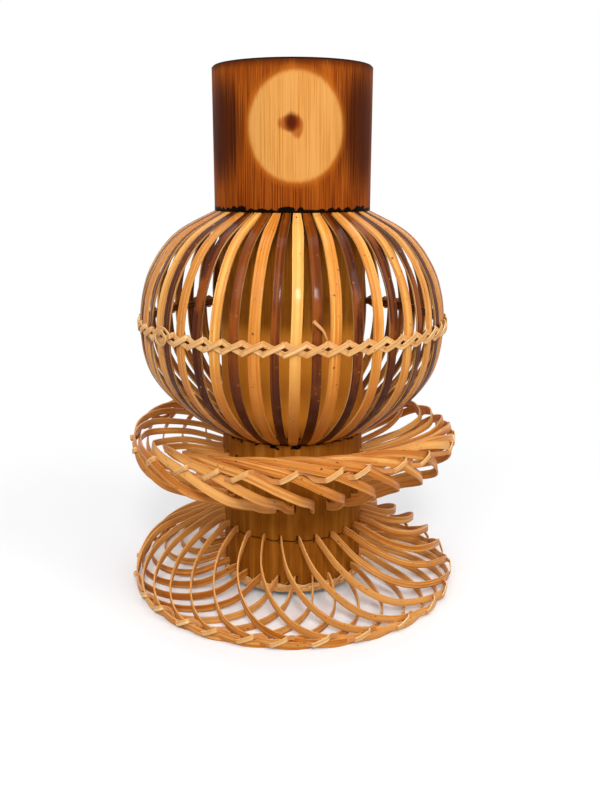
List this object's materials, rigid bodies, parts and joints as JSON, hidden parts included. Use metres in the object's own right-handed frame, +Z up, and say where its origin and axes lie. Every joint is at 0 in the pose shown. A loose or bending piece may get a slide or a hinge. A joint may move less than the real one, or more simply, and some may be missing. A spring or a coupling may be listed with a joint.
{
  "type": "bamboo vase",
  "caption": "Tall bamboo tube vase with a ribbed globe, a cane belt and two open cages of twisted bamboo strips; the lower one is its foot.",
  "frame": {"origin": "centre of the base, on the floor under the middle of the tube", "axes": "+Z up along the tube towards its mouth; -Y is the front, where the neck has its golden patch; +X is to the right seen from the front"},
  "size_m": [0.1396, 0.1396, 0.21],
  "materials": {
    "tube_bamboo": "satin",
    "light_bamboo": "satin",
    "dark_bamboo": "gloss",
    "golden_strip": "satin",
    "pale_cane": "matt"
  },
  "bodies": {
    "root": {"bamboo_tube": "tube_bamboo", "light_rib_pair_01": "light_bamboo", "light_rib_pair_02": "light_bamboo", "light_rib_pair_03": "light_bamboo", "light_rib_pair_04": "light_bamboo", "light_rib_pair_05": "light_bamboo", "light_rib_pair_06": "light_bamboo", "light_rib_pair_07": "light_bamboo", "light_rib_pair_08": "light_bamboo", "light_rib_pair_09": "light_bamboo", "light_rib_pair_10": "light_bamboo", "light_rib_pair_11": "light_bamboo", "light_rib_pair_12": "light_bamboo", "light_rib_pair_13": "light_bamboo", "dark_rib_pair_01": "dark_bamboo", "dark_rib_pair_02": "dark_bamboo", "dark_rib_pair_03": "dark_bamboo", "dark_rib_pair_04": "dark_bamboo", "dark_rib_pair_05": "dark_bamboo", "dark_rib_pair_06": "dark_bamboo", "dark_rib_pair_07": "dark_bamboo", "dark_rib_pair_08": "dark_bamboo", "dark_rib_pair_09": "dark_bamboo", "dark_rib_pair_10": "dark_bamboo", "dark_rib_pair_11": "dark_bamboo", "dark_rib_pair_12": "dark_bamboo", "dark_rib_pair_13": "dark_bamboo", "belt_hoop": "dark_bamboo", "belt_lashing_inner": "pale_cane", "belt_lashing_outer": "pale_cane", "middle_strip_pair_01": "golden_strip", "middle_strip_pair_02": "golden_strip", "middle_strip_pair_03": "golden_strip", "middle_strip_pair_04": "golden_strip", "middle_strip_pair_05": "golden_strip", "middle_strip_pair_06": "golden_strip", "middle_strip_pair_07": "golden_strip", "middle_strip_pair_08": "golden_strip", "middle_strip_pair_09": "golden_strip", "middle_strip_pair_10": "golden_strip", "middle_strip_pair_11": "golden_strip", "middle_strip_pair_12": "golden_strip", "middle_strip_pair_13": "golden_strip", "middle_rim_weaver": "pale_cane", "base_strip_pair_01": "golden_strip", "base_strip_pair_02": "golden_strip", "base_strip_pair_03": "golden_strip", "base_strip_pair_04": "golden_strip", "base_strip_pair_05": "golden_strip", "base_strip_pair_06": "golden_strip", "base_strip_pair_07": "golden_strip", "base_strip_pair_08": "golden_strip", "base_strip_pair_09": "golden_strip", "base_strip_pair_10": "golden_strip", "base_strip_pair_11": "golden_strip", "base_strip_pair_12": "golden_strip", "base_strip_pair_13": "golden_strip", "base_rim_weaver": "pale_cane", "foot_binding": "pale_cane"}
  },
  "joints": []
}
